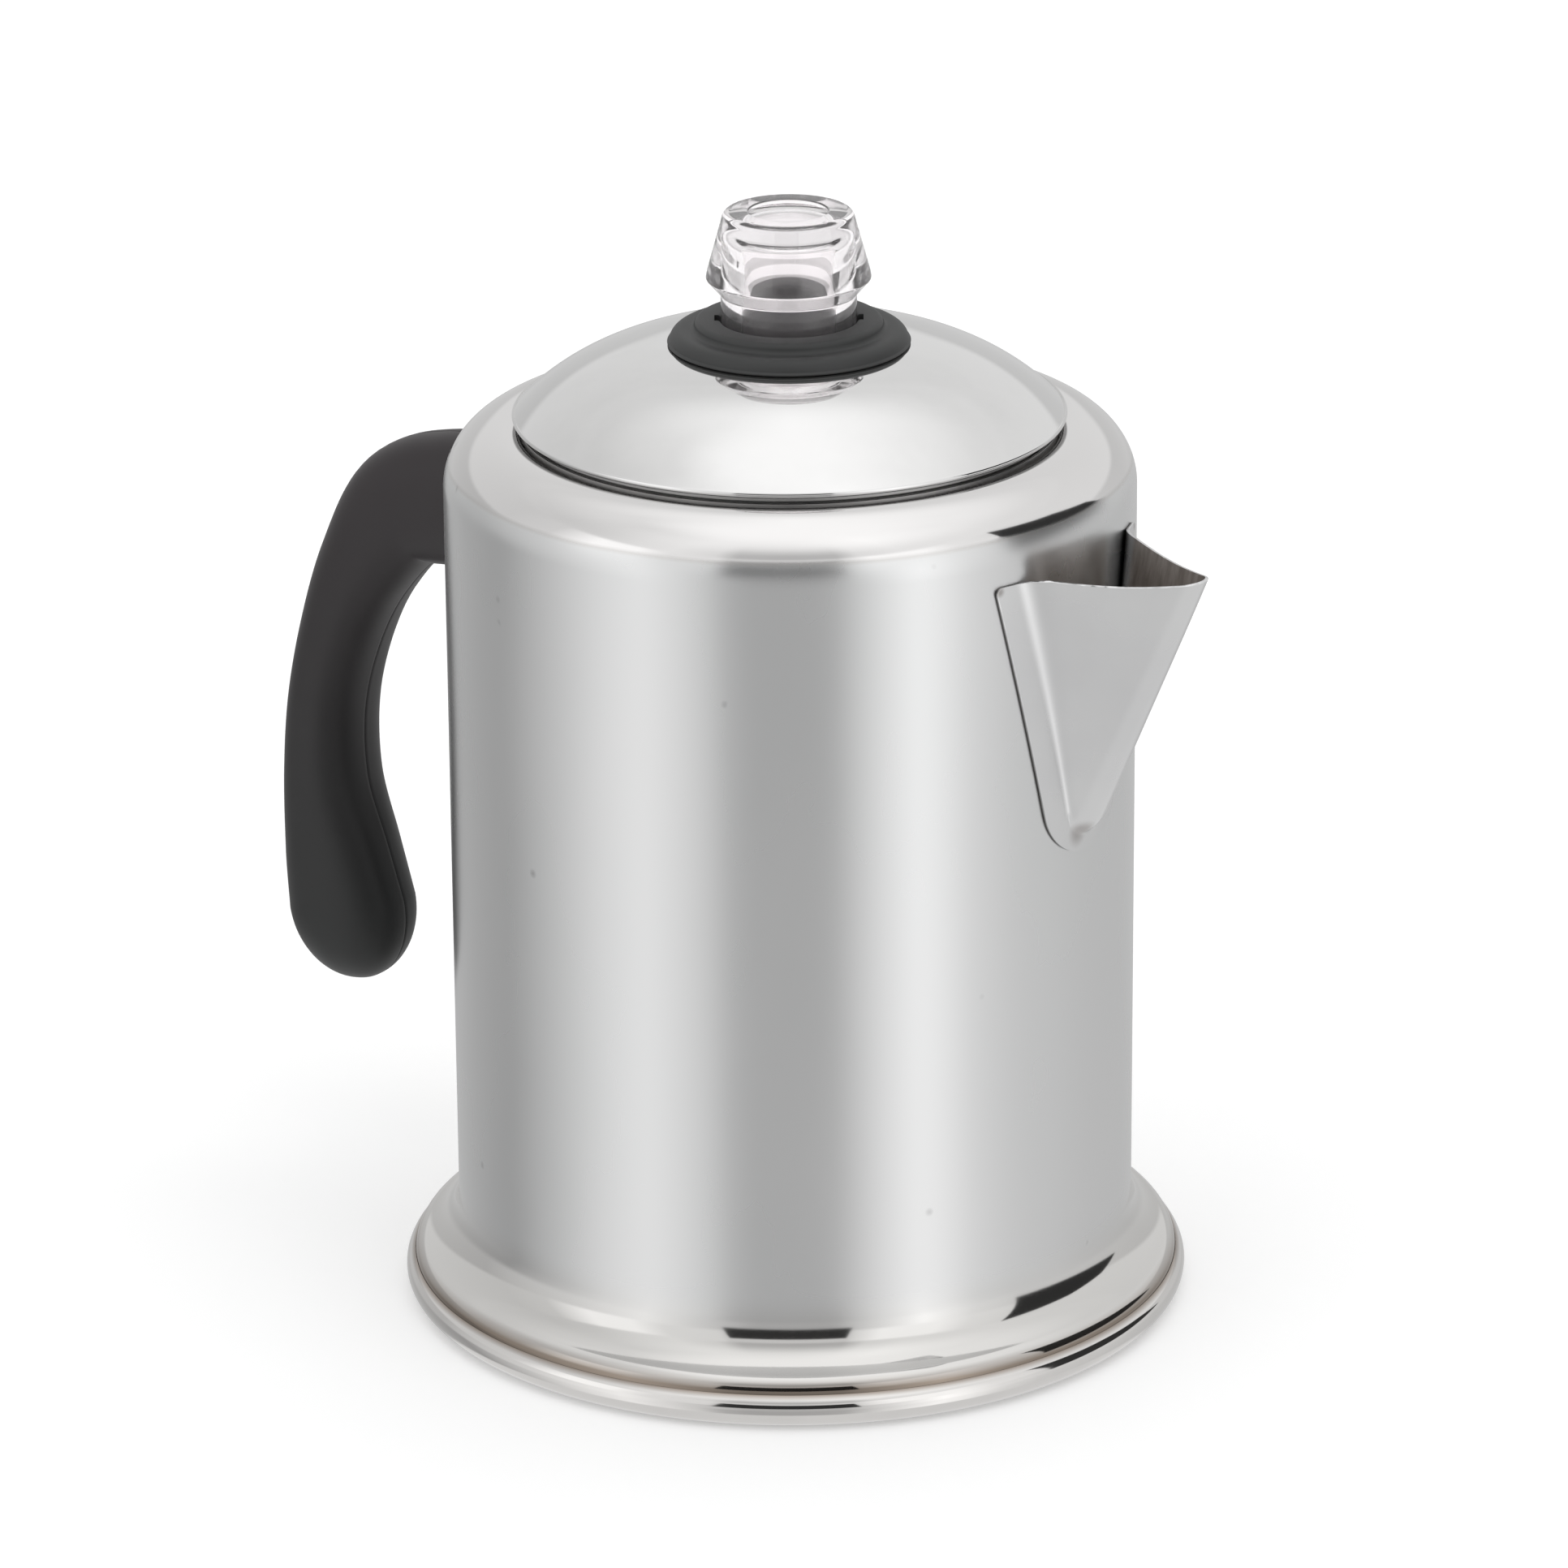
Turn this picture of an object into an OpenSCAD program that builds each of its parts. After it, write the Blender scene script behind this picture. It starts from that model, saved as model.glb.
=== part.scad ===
// Stovetop coffee percolator, eight small cups, with a twist-off clear knob.
// Origin at the centre of the underside, +Z up, spout towards +X, handle towards -X.
// All sizes are in millimetres.

/* [Pot] */
// Outside radius of the pot's wall
body_r = 65.5; // [62:0.5:80]
// Thickness of the pot's sheet steel
wall = 0.8; // [0.6:0.1:1]
// Height of the flat shoulder that the lid's rim covers
shoulder_z = 174; // [165:1:215]
// Outside radius of the rounded shoulder
shoulder_r = 12; // [9:0.5:14]
// Clear radius of the mouth, inside its neck
mouth_r = 49.7; // [41:0.1:51.5]
// Depth of the neck below the shoulder
neck_depth = 7; // [5:0.5:12]

/* [Foot] */
// How far the skirt above the foot stands out from the wall
flare_out = 8.7; // [7:0.1:12]
// Height of the centre of the skirt's rounded crest
crest_z = 6.3; // [5:0.1:7]
// Radius of the skirt's rounded crest
crest_r = 3.5; // [3:0.1:4]
// Radius of the rolled bead around the bottom pan
bead_r = 3.5; // [3.2:0.1:4]
// Thickness of the bottom pan's floor
floor_t = 1.2; // [0.8:0.1:2]

/* [Spout] */
// How far the lip of the spout reaches from the wall
spout_reach = 25.8; // [22:0.2:34]
// Height of the spout's rim below the shoulder
spout_drop = 15.7; // [14:0.1:25]
// Height of the spout, from its rim to the bottom of its fold
spout_h = 54; // [44:1:66]
// Half of the spout's width where it meets the wall
spout_half_w = 17.6; // [15:0.2:19]
// Radius of the spout's rounded lip
lip_r = 4.5; // [3:0.1:6]
// Thickness of the spout's sheet steel
spout_t = 0.6; // [0.6:0.1:1]
// How far the bottom of the spout's fold stands out from the wall
fold_out = 4.4; // [3:0.1:6]
// Width of the flange beside the spout's fold
flange_w = 6.8; // [4:0.1:7.5]
// Width of the flange below the spout's fold
flange_low_w = 3; // [2:0.1:5]
// Radius of one strainer hole
strainer_r = 1.8; // [1.2:0.1:2.2]
// Distance between strainer holes
strainer_pitch = 7.5; // [6:0.1:10]

/* [Handle] */
// Height of the middle of the handle's arm below the shoulder
arm_drop = 29.2; // [26:0.1:40]
// Half of the handle's width, side to side
grip_half_w = 10; // [9:0.1:13]
// Length that the bracket's tongue reaches into the handle
tongue_l = 20; // [18:0.5:24]
// Thickness of the bracket's steel
bracket_t = 2; // [1.5:0.1:2.2]
// Radius of the handle screw's thread
screw_r = 2; // [1.5:0.1:2.2]
// Radius of the handle screw's head
screw_head_r = 3.6; // [3.2:0.1:4]

/* [Lid] */
// How far the lid's rim reaches past the mouth
lid_overlap = 2.6; // [2.4:0.1:5]
// Gap seen between the lid's rim and the shoulder
rim_gap = 1.2; // [0.5:0.1:2]
// Rise of the lid from its rim to the seat of the collar
dome_h = 13.2; // [10:0.1:18]
// Sagitta of the dome's curve
dome_sag = 3; // [1.5:0.1:3.5]
// Thickness of the lid's sheet steel
lid_t = 0.8; // [0.6:0.1:1]
// Depth of the lid's skirt below the shoulder
skirt_depth = 10; // [8:0.5:12]

/* [Knob] */
// Outside radius of the clear knob's neck
neck_r = 12.8; // [10.5:0.1:15.5]
// Height of the knob above the collar's seat
knob_h = 25.6; // [23:0.1:34]
// How far the knob's flared skirt stands out from its neck
knob_flare = 2.7; // [2:0.1:4]
// Wall thickness of the knob's neck
knob_wall = 3.9; // [2:0.1:4.5]
// Width of one of the knob's two locking lugs
lug_w = 3; // [2.5:0.1:5]
// How far a lug stands out from the neck
lug_out = 0.9; // [0.8:0.1:1.6]
// How far the collar's flange reaches past the neck
collar_out = 10.1; // [8:0.1:13]

/* [Pump and basket] */
// Outside radius of the pump tube
tube_r = 4.5; // [4:0.1:6]
// Wall thickness of the pump tube
tube_wall = 0.7; // [0.5:0.1:1]
// Radius of the bell at the pump's foot
bell_r = 30; // [24:0.5:38]
// Height of the bell
bell_h = 13; // [11:0.5:18]
// Gap between the basket's rim and the mouth that it is lifted through
basket_gap = 2.9; // [1:0.1:8]
// Height of the basket
basket_h = 46; // [36:1:50]
// Thickness of the basket's sheet
basket_t = 0.7; // [0.6:0.1:1]
// Gap between the spreader plate and the lid's skirt
spreader_gap = 8; // [6:0.5:14]

/* [Clearances] */
// Gap between pieces that are fixed to each other
seat_gap = 0.05; // [0.02:0.01:0.1]
// Gap between pieces that move past each other
move_gap = 0.3; // [0.3:0.05:0.5]
// Gap around a shaft that turns or slides in a bore
run_gap = 0.08; // [0.05:0.01:0.1]

/* [Hidden] */
$fn = 96;

steel = "silver";
black = "dimgray";
over = 1;

// Foot: the concave curve is tangent to the wall and to the crest
flare_r = body_r + flare_out;
crest_lean = 70;
cove_r = (flare_out - crest_r + crest_r * cos(crest_lean)) / (1 - cos(crest_lean));
cove_z = crest_z + (crest_r + cove_r) * sin(crest_lean);
pan_r = flare_r + seat_gap + bead_r / 2;

// Handle arm
arm_z = shoulder_z - arm_drop;
pad_half_w = 7;
pad_half_h = 9;
tongue_half_w = 5.5;
screw_x = -(body_r + tongue_l - 7);
nut_half_w = 4;
nut_h = 3.2;
pocket_gap = 0.3;
washer_t = 0.8;
washer_r = 4.2;
head_h = 2.6;
head_z = arm_z - 7;

// Middle line of the handle from the wall outwards: [out from the wall, up from the arm's
// middle, half of the thickness]
grip_line = [[0, 0.4, 13.2], [12, 0.4, 13.4], [24.4, -3.4, 12.2], [34, -16.4, 9.8], [40.3, -31, 8.3],
             [44.2, -46.6, 7.9], [45, -63, 8.9], [43, -78, 11.6], [41, -89.5, 13.2]];
grip_steps = 4;
grip_sides = 24;
grip_square = 2.4;
grip_tip_l = 16;
grip_tip_steps = 6;

// Spout
rim_z = shoulder_z - spout_drop;
spout_low_z = rim_z - spout_h;
lip_x = body_r + spout_reach - lip_r;
fold_r = 6;
fold_x = body_r + fold_out - fold_r;
root_x = body_r - 8;
flange_low_r = fold_r + flange_w;
flange_low_z = spout_low_z - flange_low_w;
flange_top_half = spout_half_w + flange_w;

// Lid: the dome ends in a flat seat under the collar
collar_r = neck_r + collar_out;
seat_r = collar_r - 0.9;
lid_r = mouth_r + lid_overlap;
lid_bead_r = 0.65;
lid_rim_z = shoulder_z + rim_gap + lid_bead_r;
seat_z = lid_rim_z + lid_bead_r / 2 + dome_h;
dome_run = lid_r - lid_bead_r * 0.7 - seat_r;
dome_chord = norm([dome_run, dome_h]);
dome_r = (dome_chord * dome_chord / 4 + dome_sag * dome_sag) / (2 * dome_sag);
dome_lean = atan2(dome_h, dome_run);
dome_c = [seat_r + dome_run / 2 - (dome_r - dome_sag) * sin(dome_lean),
          seat_z - dome_h / 2 - (dome_r - dome_sag) * cos(dome_lean)];
dome_half = asin(dome_chord / 2 / dome_r);
skirt_r = mouth_r - 0.4;
ledge_r = skirt_r + 1.3;
ledge_z = shoulder_z + move_gap;

// Collar and knob
collar_bore_r = neck_r + run_gap;
spigot_r = collar_bore_r + 2.6;
spigot_low_z = seat_z - 4;
collar_t = 2.8;
collar_step_r = neck_r + 5;
collar_top_z = seat_z + 4.8;
lug_h = 2;
lug_turn = 34;
knob_low_z = spigot_low_z - move_gap - lug_h;
knob_top_z = seat_z + knob_h;
flare_z = seat_z + 13.4;
bore_r = neck_r - knob_wall;

// Pump
bell_t = 0.8;
bell_low_z = floor_t + move_gap;
bell_neck_z = bell_low_z + bell_h - 3;
disc_r = 7;
disc_t = 0.8;
disc_travel = 3;
disc_z = floor_t + 2.6;
cage_t = 0.6;
cage_r = disc_r + 2;
cage_top_z = disc_z + disc_t + disc_travel + move_gap + cage_t;
tube_low_z = cage_top_z + seat_gap;
tube_top_z = knob_low_z - 1.5;

// Basket
spreader_z = shoulder_z - skirt_depth - spreader_gap;
basket_top_z = spreader_z - move_gap;
basket_low_z = basket_top_z - basket_h;
rim_flare = 1;
basket_rim_r = mouth_r - basket_gap;
basket_r = basket_rim_r - 0.8;
sleeve_r = tube_r + run_gap + 0.7;
stop_h = 3;
stop_r = tube_r + 2.2;

function arc(c, r, from, to, n) =
    [for (i = [0 : n]) let (a = from + (to - from) * i / n) c + r * [cos(a), sin(a)]];
function flip(line) = [for (i = [len(line) - 1 : -1 : 0]) line[i]];
function dome_line(inset) =
    arc(dome_c, dome_r - inset, 90 - dome_lean + dome_half, 90 - dome_lean - dome_half, 16);
function dome_under(r) =
    dome_c[1] + sqrt(pow(dome_r - lid_t, 2) - pow(r - dome_c[0], 2));
function power(v, n) = sign(v) * pow(abs(v), n);
function at(list, i) = list[max(0, min(len(list) - 1, i))];
function blend(a, b, c, d, t) =
    0.5 * (2 * b + (c - a) * t + (2 * a - 5 * b + 4 * c - d) * t * t
           + (3 * b - a - 3 * c + d) * t * t * t);

// A solid of revolution from an outline of [radius, height] points
module turned(outline) {
    rotate_extrude() polygon(outline);
}

// A ring between two radii, from one height to another
module ring(outer, inner, low, high) {
    turned([[inner, low], [outer, low], [outer, high], [inner, high]]);
}

module body_outline() {
    crest_c = [flare_r - crest_r, crest_z];
    cove_c = [body_r + cove_r, cove_z];
    turn_c = [body_r - shoulder_r, shoulder_z - shoulder_r];
    lip_c = [mouth_r + 1.5, shoulder_z - 1.5];
    low_z = floor_t + seat_gap;
    outside = concat([[flare_r, low_z]], arc(crest_c, crest_r, 0, crest_lean, 8),
                     arc(cove_c, cove_r, 180 + crest_lean, 180, 10),
                     arc(turn_c, shoulder_r, 0, 90, 12), arc(lip_c, 1.5, 90, 180, 6),
                     [[mouth_r, shoulder_z - neck_depth]]);
    inside = concat([[flare_r - wall, low_z]], arc(crest_c, crest_r - wall, 0, crest_lean, 8),
                    arc(cove_c, cove_r + wall, 180 + crest_lean, 180, 10),
                    arc(turn_c, shoulder_r - wall, 0, 90, 12), arc(lip_c, 1.5 - wall, 90, 180, 6),
                    [[mouth_r + wall, shoulder_z - neck_depth]]);
    polygon(concat(outside, flip(inside)));
}

// Rows of strainer holes that narrow with the spout behind them
module strainer_holes() {
    first_drop = 12;
    last_gap = 7;
    row_drop = strainer_pitch * 0.9;
    rows = floor((spout_h - first_drop - last_gap) / row_drop);
    for (i = [0 : rows - 1]) {
        drop = first_drop + i * row_drop;
        half = spout_half_w + (fold_r - spout_half_w) * drop / spout_h - strainer_r - 3;
        count = 1 + floor(2 * half / strainer_pitch);
        for (j = [0 : count - 1])
            translate([root_x, (j - (count - 1) / 2) * strainer_pitch, rim_z - drop])
                rotate([0, 90, 0])
                    cylinder(h = body_r - root_x + over, r = strainer_r, $fn = 24);
    }
}

module body_shell() {
    color(steel)
        difference() {
            rotate_extrude() body_outline();
            strainer_holes();
        }
}

module base_pan() {
    bead_c = [pan_r - bead_r, bead_r];
    inside_r = flare_r + seat_gap;
    color(steel)
        turned(concat([[0, 0]], arc(bead_c, bead_r, -90, 60, 12),
                      [[inside_r, bead_r + bead_r * sin(60)], [inside_r, floor_t], [0, floor_t]]));
}

// The folded sheet of the spout, grown or shrunk by a distance from its outside
module spout_form(inset, lift) {
    hull() {
        translate([0, 0, rim_z + lift]) {
            translate([lip_x, 0, -0.1])
                cylinder(h = 0.1, r = lip_r - inset, $fn = 32);
            translate([root_x, -spout_half_w - 3 + inset, -0.1])
                cube([1, 2 * (spout_half_w + 3 - inset), 0.1]);
        }
        translate([fold_x, 0, spout_low_z + fold_r])
            sphere(r = fold_r - inset, $fn = 32);
    }
}

// Outline of the flange, seen from the front: a rounded V
module flange_outline() {
    rise = rim_z - flange_low_z - flange_low_r;
    spread = flange_top_half;
    lean = atan2(spread, rise) - asin(flange_low_r / sqrt(spread * spread + rise * rise));
    touch = [flange_low_r * cos(lean), -flange_low_r * sin(lean)];
    translate([0, flange_low_z + flange_low_r]) {
        circle(r = flange_low_r);
        polygon([touch, [spread, rise], [-spread, rise], [-touch[0], touch[1]]]);
    }
}

module spout() {
    flange_r = body_r + seat_gap;
    color(steel)
        difference() {
            union() {
                intersection() {
                    ring(flange_r + spout_t, flange_r, flange_low_z - over, rim_z);
                    rotate([90, 0, 90])
                        linear_extrude(flange_r + over + spout_t) flange_outline();
                }
                difference() {
                    spout_form(0, 0);
                    translate([0, 0, spout_low_z - over])
                        cylinder(h = spout_h + 2 * over, r = flange_r);
                }
            }
            spout_form(spout_t, over);
        }
}

module handle_bracket() {
    pad_in = body_r + seat_gap;
    color(steel)
        difference() {
            union() {
                intersection() {
                    ring(pad_in + bracket_t, pad_in, arm_z - pad_half_h, arm_z + pad_half_h);
                    translate([-pad_in - bracket_t - over, -pad_half_w, arm_z - pad_half_h])
                        cube([bracket_t + 3 * over, 2 * pad_half_w, 2 * pad_half_h]);
                }
                translate([-(body_r + tongue_l), -tongue_half_w, arm_z])
                    cube([tongue_l - bracket_t / 2, 2 * tongue_half_w, bracket_t]);
            }
            translate([screw_x, 0, arm_z - over])
                cylinder(h = bracket_t + 2 * over, r = screw_r + run_gap);
        }
}

module bracket_nut() {
    nut_z = arm_z + bracket_t + seat_gap;
    color(steel)
        difference() {
            translate([screw_x - nut_half_w, -nut_half_w, nut_z])
                cube([2 * nut_half_w, 2 * nut_half_w, nut_h]);
            translate([screw_x, 0, nut_z - over]) cylinder(h = nut_h + 2 * over, r = screw_r + run_gap);
        }
}

// The middle line at a step s, where whole steps are its listed points
function grip_at(s) =
    let (i = min(floor(s), len(grip_line) - 2), t = s - i)
    blend(at(grip_line, i - 1), at(grip_line, i), at(grip_line, i + 1), at(grip_line, i + 2), t);

// The way the middle line runs at a point of it: [x, z] of length 1
function way_at(s) =
    let (d = grip_at(min(s + 0.05, len(grip_line) - 1)) - grip_at(max(s - 0.05, 0)),
         l = norm([d[0], d[1]]))
    [d[0] / l, d[1] / l];

// One ring of the handle: its middle, the way it faces, half of its thickness and of its width
function grip_ring(c, way, t, w) =
    [for (k = [0 : grip_sides - 1])
        let (a = 360 * k / grip_sides,
             u = t * power(cos(a), 2 / grip_square),
             v = w * power(sin(a), 2 / grip_square))
        [-(body_r + c[0] + u * way[1]), v, arm_z + c[1] - u * way[0]]];

module grip_form() {
    last = len(grip_line) - 1;
    along = [for (i = [0 : last * grip_steps]) i / grip_steps];
    body = [for (s = along) let (c = grip_at(s)) grip_ring(c, way_at(s), c[2], grip_half_w)];
    tip_c = grip_at(last);
    tip_way = way_at(last);
    tip = [for (k = [1 : grip_tip_steps])
        let (a = 84 * k / grip_tip_steps, far = grip_tip_l * sin(a))
        grip_ring([tip_c[0] + tip_way[0] * far, tip_c[1] + tip_way[1] * far], tip_way,
                  tip_c[2] * cos(a), grip_half_w * cos(a))];
    rings = concat(body, tip);
    n = grip_sides;
    sides = [for (r = [0 : len(rings) - 2]) for (k = [0 : n - 1])
        [r * n + k, r * n + (k + 1) % n, (r + 1) * n + (k + 1) % n, (r + 1) * n + k]];
    front = [for (k = [n - 1 : -1 : 0]) k];
    back = [for (k = [0 : n - 1]) (len(rings) - 1) * n + k];
    polyhedron(points = [for (r = rings) for (p = r) p], faces = concat([front], sides, [back]));
}

module handle_grip() {
    cut = 30;
    room_w = pad_half_w + pocket_gap;
    room_h = pad_half_h + pocket_gap;
    slot_w = tongue_half_w + pocket_gap;
    color(black)
        difference() {
            grip_form();
            translate([0, 0, arm_z - cut]) cylinder(h = 2 * cut, r = body_r + pocket_gap);
            // Room for the bracket's pad, its tongue and the nut
            translate([-(body_r + bracket_t + pocket_gap), -room_w, arm_z - room_h])
                cube([2 * bracket_t + pocket_gap, 2 * room_w, 2 * room_h]);
            translate([-(body_r + tongue_l + pocket_gap), -slot_w, arm_z - seat_gap])
                cube([tongue_l, 2 * slot_w, bracket_t + nut_h + 2 * pocket_gap]);
            // Screw hole and the recess for its head
            translate([screw_x, 0, arm_z - cut]) cylinder(h = cut + over, r = screw_r + run_gap);
            translate([screw_x, 0, head_z - cut]) cylinder(h = cut, r = washer_r + pocket_gap);
        }
}

module handle_screw() {
    shank_top = arm_z + bracket_t + nut_h;
    head_top = head_z - washer_t - 2 * seat_gap;
    head_low = head_top - head_h;
    cross = [screw_r * 0.45, screw_r * 2, head_h * 0.9];
    color(steel)
        translate([screw_x, 0, head_low])
            difference() {
                union() {
                    cylinder(h = head_h, r = screw_head_r);
                    cylinder(h = shank_top - head_low, r = screw_r);
                }
                // Cross recess in the head
                for (a = [0, 90])
                    rotate([0, 0, a])
                        cube(cross, center = true);
            }
}

module screw_washer() {
    color(steel)
        translate([screw_x, 0, 0])
            ring(washer_r, screw_r + run_gap, head_z - washer_t - seat_gap, head_z - seat_gap);
}

module lid_dome() {
    hole_r = spigot_r + seat_gap;
    under = flip(dome_line(lid_t));
    color(steel) {
        turned(concat([[hole_r, seat_z]], dome_line(0), under, [[hole_r, seat_z - lid_t]]));
        rotate_extrude()
            translate([lid_r - lid_bead_r, lid_rim_z])
                circle(r = lid_bead_r, $fn = 24);
    }
}

// The skirt inside the mouth, with the ledge that rests on the mouth's lip
module lid_skirt() {
    inner_r = skirt_r - lid_t;
    low_z = shoulder_z - skirt_depth;
    color(steel)
        turned([[inner_r, low_z], [skirt_r, low_z], [skirt_r, ledge_z], [ledge_r, ledge_z],
                [ledge_r, dome_under(ledge_r) - seat_gap],
                [inner_r, dome_under(inner_r) - seat_gap]]);
}

module knob_collar() {
    flange_z = seat_z + seat_gap;
    flange_top_z = flange_z + collar_t;
    color(black)
        difference() {
            turned(concat([[collar_bore_r, spigot_low_z], [spigot_r, spigot_low_z],
                           [spigot_r, flange_z]],
                          arc([collar_r - collar_t, flange_z], collar_t, 0, 90, 8),
                          [[collar_step_r, flange_top_z], [collar_step_r - 1, collar_top_z],
                           [collar_bore_r + 0.5, collar_top_z],
                           [collar_bore_r, collar_top_z - 0.5]]));
            // Slots that let the knob's lugs through
            rotate([0, 0, lug_turn])
                translate([-neck_r - lug_out - move_gap, -lug_w / 2 - move_gap, spigot_low_z - over])
                    cube([2 * (neck_r + lug_out + move_gap), lug_w + 2 * move_gap,
                          collar_top_z - spigot_low_z + 2 * over]);
        }
}

module collar_ring() {
    ring_top = seat_z - lid_t - seat_gap;
    color(steel)
        ring(spigot_r + 3, spigot_r + seat_gap, ring_top - 0.8, ring_top);
}

module knob() {
    skirt_out_r = neck_r + knob_flare;
    top_r = neck_r - 0.3;
    edge = 1.6;
    dish_r = neck_r - 5;
    dish_z = knob_top_z - 0.7;
    roof_z = knob_top_z - 5.5;
    outside = concat([[bore_r, knob_low_z], [neck_r, knob_low_z], [neck_r, flare_z - 3.2],
                      [skirt_out_r - 0.5, flare_z - 1], [skirt_out_r, flare_z]],
                     arc([top_r - edge, knob_top_z - edge], edge, 12, 90, 6));
    dish = [[dish_r, knob_top_z], [dish_r - 0.4, dish_z], [0, dish_z]];
    inside = [[0, roof_z], [bore_r - 1.6, roof_z], [bore_r - 0.6, roof_z - 1]];
    color("gainsboro", 0.4) {
        turned(concat(outside, dish, inside));
        rotate([0, 0, lug_turn + 90])
            intersection() {
                ring(neck_r + lug_out, neck_r - 1, knob_low_z, knob_low_z + lug_h);
                translate([-neck_r - 2 * lug_out, -lug_w / 2, knob_low_z - over])
                    cube([2 * neck_r + 4 * lug_out, lug_w, lug_h + 2 * over]);
            }
    }
}

module pump_tube() {
    color(steel)
        ring(tube_r, tube_r - tube_wall, tube_low_z, tube_top_z);
}

module pump_bell() {
    collar = tube_r + seat_gap;
    top_z = bell_low_z + bell_h;
    rim_in = 6;
    rim_h = 3;
    inlet_r = 2;
    color(steel)
        difference() {
            turned([[collar, bell_neck_z], [collar + bell_t, bell_neck_z],
                    [bell_r - rim_in, bell_low_z + rim_h], [bell_r - bell_t, bell_low_z],
                    [bell_r, bell_low_z], [bell_r - rim_in + 0.6, bell_low_z + rim_h + 0.9],
                    [collar + 2.6, bell_neck_z + 1.4], [collar + bell_t, top_z], [collar, top_z]]);
            // Water inlets around the rim
            for (a = [30 : 60 : 330])
                rotate([0, 0, a])
                    translate([bell_r - 0.8 * inlet_r, 0, bell_low_z - over])
                        cylinder(h = rim_h, r = inlet_r, $fn = 24);
        }
}

module basket_stop() {
    color(steel)
        ring(stop_r, tube_r + seat_gap, basket_low_z - move_gap - stop_h, basket_low_z - move_gap);
}

// A loose disc that lifts and drops under the tube's open end
module valve_disc() {
    color(steel)
        translate([0, 0, disc_z]) cylinder(h = disc_t, r = disc_r, $fn = 48);
}

module valve_cage() {
    low_z = disc_z - move_gap - cage_t;
    ledge_r = disc_r - 2;
    wall_in = cage_r - cage_t;
    tube_in = tube_r - tube_wall;
    port_r = 1.2;
    color(steel)
        difference() {
            turned([[ledge_r, low_z], [cage_r, low_z], [cage_r, cage_top_z],
                    [tube_in, cage_top_z], [tube_in, cage_top_z - cage_t],
                    [wall_in, cage_top_z - cage_t], [wall_in, low_z + cage_t],
                    [ledge_r, low_z + cage_t]]);
            // Ports that let water in over the disc
            for (a = [0 : 90 : 270])
                rotate([0, 0, a])
                    translate([wall_in - over, 0, disc_z + disc_t + disc_travel / 2])
                        rotate([0, 90, 0])
                            cylinder(h = cage_t + 2 * over, r = port_r, $fn = 24);
        }
}

module basket_shell() {
    inner_r = sleeve_r + seat_gap;
    corner = 3;
    wall_in = basket_r - basket_t;
    color(steel)
        difference() {
            turned([[inner_r, basket_low_z], [basket_r - corner, basket_low_z],
                    [basket_r, basket_low_z + corner], [basket_r, basket_top_z - rim_flare],
                    [basket_rim_r, basket_top_z], [basket_rim_r - basket_t, basket_top_z],
                    [wall_in, basket_top_z - rim_flare], [wall_in, basket_low_z + corner + 0.3],
                    [basket_r - corner - 0.3, basket_low_z + basket_t],
                    [inner_r, basket_low_z + basket_t]]);
            perforations(10, basket_low_z);
        }
}

// Three rings of round holes through a flat sheet of the basket or its spreader
module perforations(first_r, z) {
    hole_r = 1.3;
    last_r = basket_r - 7;
    for (i = [0 : 2]) {
        r = first_r + (last_r - first_r) * i / 2;
        count = 6 * (i + 1);
        for (j = [0 : count - 1])
            rotate([0, 0, 360 * j / count])
                translate([r, 0, z - over])
                    cylinder(h = basket_t + 2 * over, r = hole_r, $fn = 16);
    }
}

module basket_sleeve() {
    color(steel)
        ring(sleeve_r, tube_r + run_gap, basket_low_z, basket_top_z - rim_flare);
}

module spreader_plate() {
    bore = tube_r + move_gap;
    hub_r = sleeve_r + 0.6;
    hub_z = spreader_z + 4;
    rim_in = basket_rim_r - basket_t;
    rim_z = spreader_z + 3;
    sheet_z = spreader_z + basket_t;
    color(steel)
        difference() {
            turned([[bore, spreader_z], [basket_rim_r, spreader_z], [basket_rim_r, rim_z],
                    [rim_in, rim_z], [rim_in, sheet_z], [hub_r, sheet_z], [hub_r, hub_z],
                    [bore, hub_z]]);
            perforations(13, spreader_z);
        }
}

body_shell();
base_pan();
spout();
handle_bracket();
bracket_nut();
handle_grip();
handle_screw();
screw_washer();
lid_dome();
lid_skirt();
knob_collar();
collar_ring();
knob();
pump_tube();
pump_bell();
basket_stop();
valve_disc();
valve_cage();
basket_shell();
basket_sleeve();
spreader_plate();
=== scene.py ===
"""Looks of the stovetop percolator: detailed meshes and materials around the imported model."""

from math import asin, atan2, cos, degrees, hypot, pi, radians, sin, sqrt, tan

import bmesh
import bpy
from mathutils import Matrix, Vector


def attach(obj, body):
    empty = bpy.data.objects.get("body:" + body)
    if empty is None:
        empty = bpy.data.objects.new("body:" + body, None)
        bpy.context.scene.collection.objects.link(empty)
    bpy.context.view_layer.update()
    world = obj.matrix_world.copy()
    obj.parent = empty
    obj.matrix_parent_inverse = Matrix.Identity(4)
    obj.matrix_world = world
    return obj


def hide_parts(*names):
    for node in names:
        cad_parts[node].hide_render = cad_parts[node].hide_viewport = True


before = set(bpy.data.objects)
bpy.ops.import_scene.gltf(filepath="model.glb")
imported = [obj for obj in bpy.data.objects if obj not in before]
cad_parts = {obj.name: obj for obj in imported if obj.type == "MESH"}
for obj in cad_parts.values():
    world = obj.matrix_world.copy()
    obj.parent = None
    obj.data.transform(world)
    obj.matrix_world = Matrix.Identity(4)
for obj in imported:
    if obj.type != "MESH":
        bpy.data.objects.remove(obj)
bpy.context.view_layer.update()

MM = 0.001
TURN_STEPS = 256

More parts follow.
